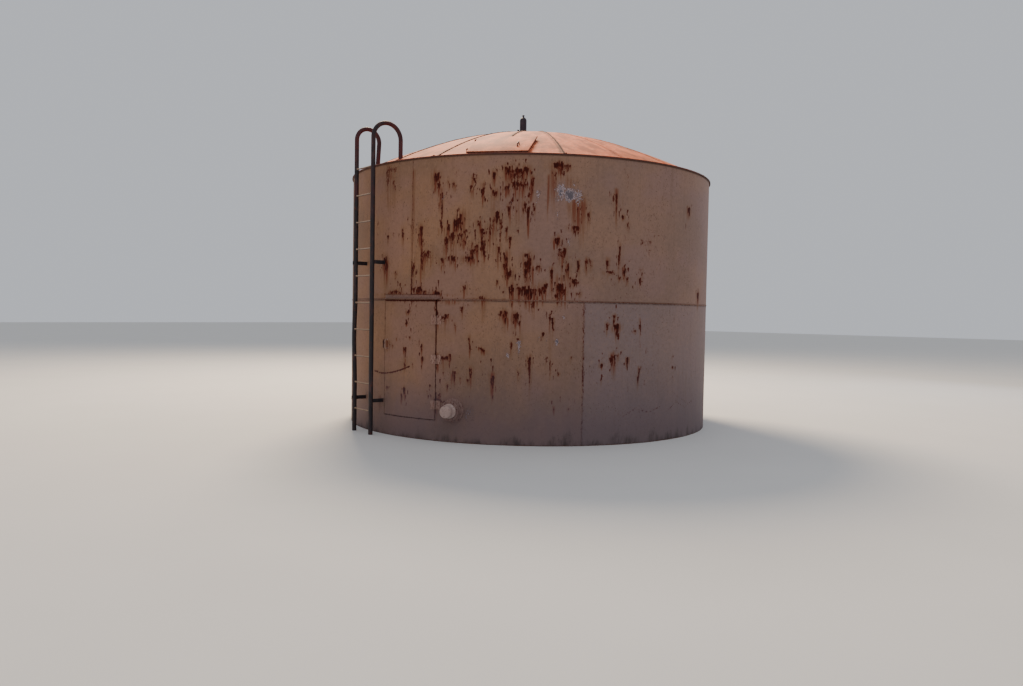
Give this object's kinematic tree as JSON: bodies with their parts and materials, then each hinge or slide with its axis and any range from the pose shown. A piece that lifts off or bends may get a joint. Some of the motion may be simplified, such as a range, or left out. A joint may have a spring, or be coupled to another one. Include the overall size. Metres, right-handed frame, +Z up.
{
  "type": "ground-level welded steel water tank",
  "caption": "Low round water tank of welded steel plate with a domed roof, a pipe ladder with hooped tops, a hinged door cut in the wall, a roof hatch, a vent and a capped drain",
  "frame": {"origin": "on the tank's axis at ground level, at the middle of the floor plate's underside", "axes": "+Z up; -Y points out through the middle of the door; +X to the right as seen by somebody who stands outside and faces the door"},
  "size_m": [4.6016, 4.7275, 3.985],
  "materials": {
    "tank_paint": "faded pinkish beige paint, chalky, with rust runs and peeled spots",
    "roof_paint": "faded salmon paint, matt, with orange-brown tints along the seams",
    "pipe_paint": "dark maroon to blue-black paint, worn, half matt",
    "rung_paint": "faded beige paint over round bar, dark underneath",
    "vent_iron": "dark weathered paint on pipe"
  },
  "bodies": {
    "tank": {"floor_plate": "tank_paint", "lower_plate_left": "tank_paint", "lower_plate_right": "tank_paint", "lower_plate_back_right": "tank_paint", "lower_plate_back_left": "tank_paint", "door_sill_plate": "tank_paint", "upper_plate_right": "tank_paint", "upper_plate_back": "tank_paint", "upper_plate_left": "tank_paint", "hatch_curb": "tank_paint", "door_hinge_fixed_1": "tank_paint", "door_hinge_fixed_2": "tank_paint", "door_hinge_fixed_3": "tank_paint", "drip_ledge": "tank_paint", "drain_pad": "tank_paint", "drain_neck": "tank_paint", "drain_cap": "tank_paint", "roof_gores_01": "roof_paint", "roof_gores_02": "roof_paint", "roof_gores_03": "roof_paint", "roof_gores_04": "roof_paint", "roof_gores_05": "roof_paint", "roof_gores_06": "roof_paint", "roof_gores_07": "roof_paint", "roof_gores_08": "roof_paint", "roof_gores_09": "roof_paint", "roof_gores_10": "roof_paint", "crown_plate": "roof_paint", "hatch_hinge_post_1": "pipe_paint", "hatch_hinge_post_2": "pipe_paint", "latch_bar": "pipe_paint", "ladder_stile_left": "pipe_paint", "ladder_stile_right": "pipe_paint", "ladder_arm_lower_left": "pipe_paint", "ladder_arm_lower_right": "pipe_paint", "ladder_arm_upper_left": "pipe_paint", "ladder_arm_upper_right": "pipe_paint", "ladder_rung_01": "rung_paint", "ladder_rung_02": "rung_paint", "ladder_rung_03": "rung_paint", "ladder_rung_04": "rung_paint", "ladder_rung_05": "rung_paint", "ladder_rung_06": "rung_paint", "ladder_rung_07": "rung_paint", "ladder_rung_08": "rung_paint", "ladder_rung_09": "rung_paint", "ladder_rung_10": "rung_paint", "vent_pipe": "vent_iron", "vent_plug": "vent_iron", "roof_lug": "vent_iron"},
    "door": {"door_leaf": "tank_paint", "door_hinge_moving_1": "tank_paint", "door_hinge_moving_2": "tank_paint", "door_hinge_moving_3": "tank_paint", "door_pull": "tank_paint"},
    "hatch": {"hatch_lid": "tank_paint", "hatch_handle": "pipe_paint"}
  },
  "joints": [
    {"name": "door_swing", "type": "hinge", "parent": "tank", "child": "door", "pos_m": [0.38653, -2.26729, 0.85], "axis": [0, 0, 1], "range_deg": [0, 105]},
    {"name": "hatch_swing", "type": "hinge", "parent": "tank", "child": "hatch", "pos_m": [0.53914, -1.89011, 3.22012], "axis": [0.3987, -0.8174, -0.4159], "range_deg": [0, 105]}
  ]
}
